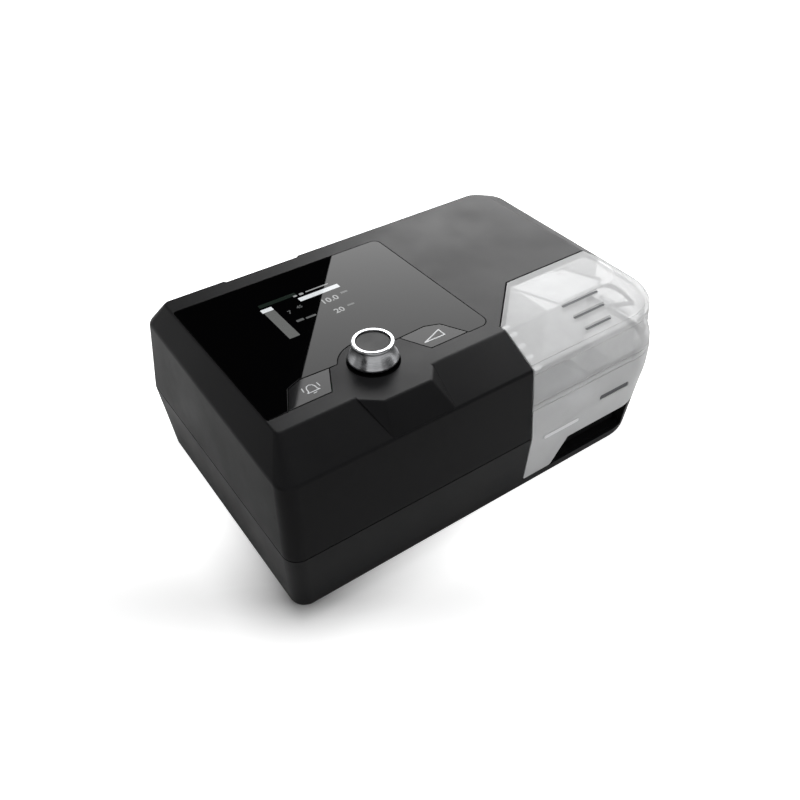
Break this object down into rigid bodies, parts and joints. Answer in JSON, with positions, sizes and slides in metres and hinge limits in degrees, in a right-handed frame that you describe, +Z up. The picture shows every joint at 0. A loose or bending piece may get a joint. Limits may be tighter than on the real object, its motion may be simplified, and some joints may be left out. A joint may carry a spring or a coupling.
{
  "type": "cpap machine",
  "caption": "Bedside positive airway pressure machine with a display, a push-and-turn knob, two keys and a pull-out humidifier tank.",
  "frame": {"origin": "under the middle of the whole machine, on the table it stands on", "axes": "+Z up, -Y the front with the knob and the keys, +X the side with the humidifier tank"},
  "size_m": [0.27, 0.194, 0.1155],
  "materials": {
    "case_black": "satin moulded",
    "display_black": "polished",
    "inner_grey": "moulded",
    "satin_silver": "turned, satin",
    "frosted_clear": "frosted clear",
    "bare_steel": "brushed",
    "soft_rubber": "matt",
    "board_green": "coated board",
    "inner_white": "moulded",
    "foam_grey": "open foam"
  },
  "bodies": {
    "case": {"upper_case": "case_black", "lower_case": "case_black", "bay_wall": "case_black", "heater_deck": "case_black", "buzzer": "case_black", "display_glass": "display_black", "display_panel": "inner_grey", "alarm_switch": "inner_grey", "ramp_switch": "inner_grey", "encoder_body": "inner_grey", "muffler_box": "inner_grey", "inlet_duct": "inner_grey", "outlet_duct": "inner_grey", "outlet_port": "inner_grey", "power_inlet": "inner_grey", "heater_spring_1": "bare_steel", "heater_spring_2": "bare_steel", "motor": "bare_steel", "card_socket": "bare_steel", "case_screw_1": "bare_steel", "case_screw_2": "bare_steel", "case_screw_3": "bare_steel", "case_screw_4": "bare_steel", "supply_seal": "soft_rubber", "return_seal": "soft_rubber", "blower_mount_1": "soft_rubber", "blower_mount_2": "soft_rubber", "blower_mount_3": "soft_rubber", "foot_1": "soft_rubber", "foot_2": "soft_rubber", "foot_3": "soft_rubber", "foot_4": "soft_rubber", "display_board": "board_green", "main_board": "board_green", "blower_lower_housing": "inner_white", "blower_upper_housing": "inner_white", "flow_sensor": "inner_white", "filter_pad": "foam_grey", "muffler_foam": "foam_grey"},
    "knob_core": {"encoder_plunger": "bare_steel"},
    "knob": {"knob_shaft": "bare_steel", "knob_skirt": "satin_silver", "knob_ring": "satin_silver", "knob_cap": "case_black"},
    "alarm_key": {"alarm_key": "case_black"},
    "ramp_key": {"ramp_key": "case_black"},
    "tank": {"tank_tub": "frosted_clear", "tank_plate": "bare_steel", "hinge_pin": "bare_steel"},
    "lid": {"tank_lid": "frosted_clear", "lid_gasket": "soft_rubber", "lid_air_guide": "frosted_clear"},
    "filter_cover": {"filter_cover": "case_black"},
    "card_door": {"card_door": "soft_rubber"},
    "rotor": {"impeller": "inner_white", "motor_shaft": "bare_steel"},
    "heater": {"heater_plate": "bare_steel", "heater_tray": "inner_white"}
  },
  "joints": [
    {"name": "knob_push", "type": "slide", "parent": "case", "child": "knob_core", "axis": [0, 0, -1], "range_m": [0, 0.0006], "stiffness_N_per_m": 1500, "springref_m": -0.0005},
    {"name": "knob_turn", "type": "hinge", "parent": "knob_core", "child": "knob", "pos_m": [-0.05205, -0.048, 0.1143], "axis": [0, 0, 1], "continuous": true},
    {"name": "alarm_key_push", "type": "slide", "parent": "case", "child": "alarm_key", "axis": [0, 0, -1], "range_m": [0, 0.0005], "stiffness_N_per_m": 1000, "springref_m": -0.0004},
    {"name": "ramp_key_push", "type": "slide", "parent": "case", "child": "ramp_key", "axis": [0, 0, -1], "range_m": [0, 0.0005], "stiffness_N_per_m": 1000, "springref_m": -0.0004},
    {"name": "tank_slide", "type": "slide", "parent": "case", "child": "tank", "axis": [0, -1, 0], "range_m": [0, 0.075]},
    {"name": "lid_swing", "type": "hinge", "parent": "tank", "child": "lid", "pos_m": [0.13265, -0.0485, 0.063], "axis": [0, 1, 0], "range_deg": [0, 100]},
    {"name": "filter_cover_swing", "type": "hinge", "parent": "case", "child": "filter_cover", "pos_m": [-0.05655, 0.07887, 0.0534], "axis": [-1, 0, 0], "range_deg": [0, 70]},
    {"name": "card_door_swing", "type": "hinge", "parent": "case", "child": "card_door", "pos_m": [-0.08155, 0.07419, 0.0215], "axis": [1, 0, 0], "range_deg": [0, 90]},
    {"name": "impeller_spin", "type": "hinge", "parent": "case", "child": "rotor", "pos_m": [0.04295, 0.024, 0.074], "axis": [0, 0, 1], "continuous": true},
    {"name": "heater_float", "type": "slide", "parent": "case", "child": "heater", "axis": [0, 0, -1], "range_m": [0, 0.0012], "stiffness_N_per_m": 2000, "springref_m": -0.002, "deforming": ["heater_spring_1", "heater_spring_2"]}
  ]
}
